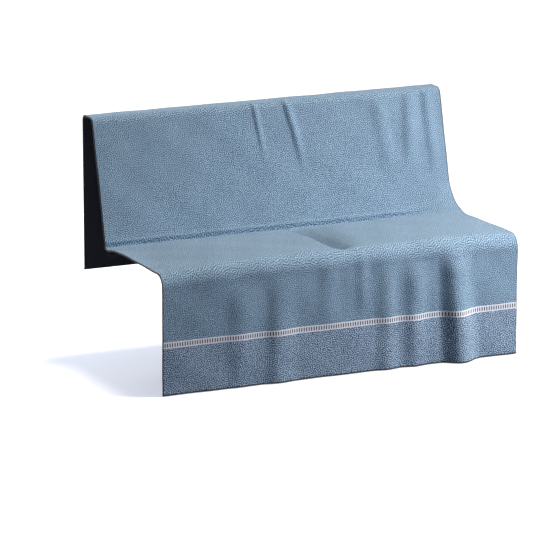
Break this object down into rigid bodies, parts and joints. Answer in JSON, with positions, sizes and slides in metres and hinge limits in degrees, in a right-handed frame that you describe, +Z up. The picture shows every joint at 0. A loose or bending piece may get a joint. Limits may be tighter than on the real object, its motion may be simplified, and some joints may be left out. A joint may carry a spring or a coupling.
{
  "type": "infrared sauna blanket",
  "caption": "Layered heating blanket draped over a two-seat sofa: printed face, ladder trim and border, wired felt core, dark backing and a rear inlet.",
  "frame": {"origin": "on the underside of the stretch that lies on the sofa's seat, midway between the side edges and 250 mm behind the front drop", "axes": "+X to the blanket's right seen from the front, -Y out of its front, +Z up"},
  "size_m": [1.4, 0.7372, 0.8774],
  "materials": {
    "printed_cloth": "matt woven polyester with a fine two-tone maze print",
    "border_cloth": "matt woven polyester with the same print, bolder and darker",
    "ladder_tape": "matt white-lavender ladder insertion tape",
    "backing_cloth": "matt dark charcoal lining",
    "edge_tape": "dark woven tape, overlocked",
    "reflector_film": "crinkled metallised polyester film",
    "felt": "needled white felt",
    "wire_silicone": "smooth red silicone",
    "lead_insulation": "smooth black insulation",
    "tinned_metal": "tinned",
    "screw_steel": "zinc-plated",
    "cutout_plastic": "moulded",
    "inlet_plastic": "fine spark texture",
    "label_tape": "blank satin tape"
  },
  "bodies": {
    "root": {"back_cloth": "backing_cloth", "care_label": "label_tape", "contact_pin_1": "tinned_metal", "contact_pin_2": "tinned_metal", "contact_pin_3": "tinned_metal", "crimp_sleeve_back_1": "tinned_metal", "crimp_sleeve_back_2": "tinned_metal", "crimp_sleeve_seat_1": "tinned_metal", "crimp_sleeve_seat_2": "tinned_metal", "edge_tape_front": "edge_tape", "edge_tape_left": "edge_tape", "edge_tape_rear": "edge_tape", "edge_tape_right": "edge_tape", "face_cloth": "printed_cloth", "front_border": "border_cloth", "front_ladder_trim": "ladder_tape", "heating_wire_back": "wire_silicone", "heating_wire_seat": "wire_silicone", "inlet_body": "inlet_plastic", "inlet_cover": "inlet_plastic", "inlet_patch": "backing_cloth", "inlet_screw_1": "screw_steel", "inlet_screw_2": "screw_steel", "inlet_screw_3": "screw_steel", "inlet_screw_4": "screw_steel", "insulating_felt": "felt", "lead_back_1": "lead_insulation", "lead_back_2": "lead_insulation", "lead_seat_1": "lead_insulation", "lead_seat_2": "lead_insulation", "rear_border": "border_cloth", "rear_ladder_trim": "ladder_tape", "reflector_film": "reflector_film", "sensor_lead": "lead_insulation", "temperature_sensor": "cutout_plastic", "terminal_block": "inlet_plastic", "thermal_cutout_back": "cutout_plastic", "thermal_cutout_seat": "cutout_plastic"}
  },
  "joints": []
}
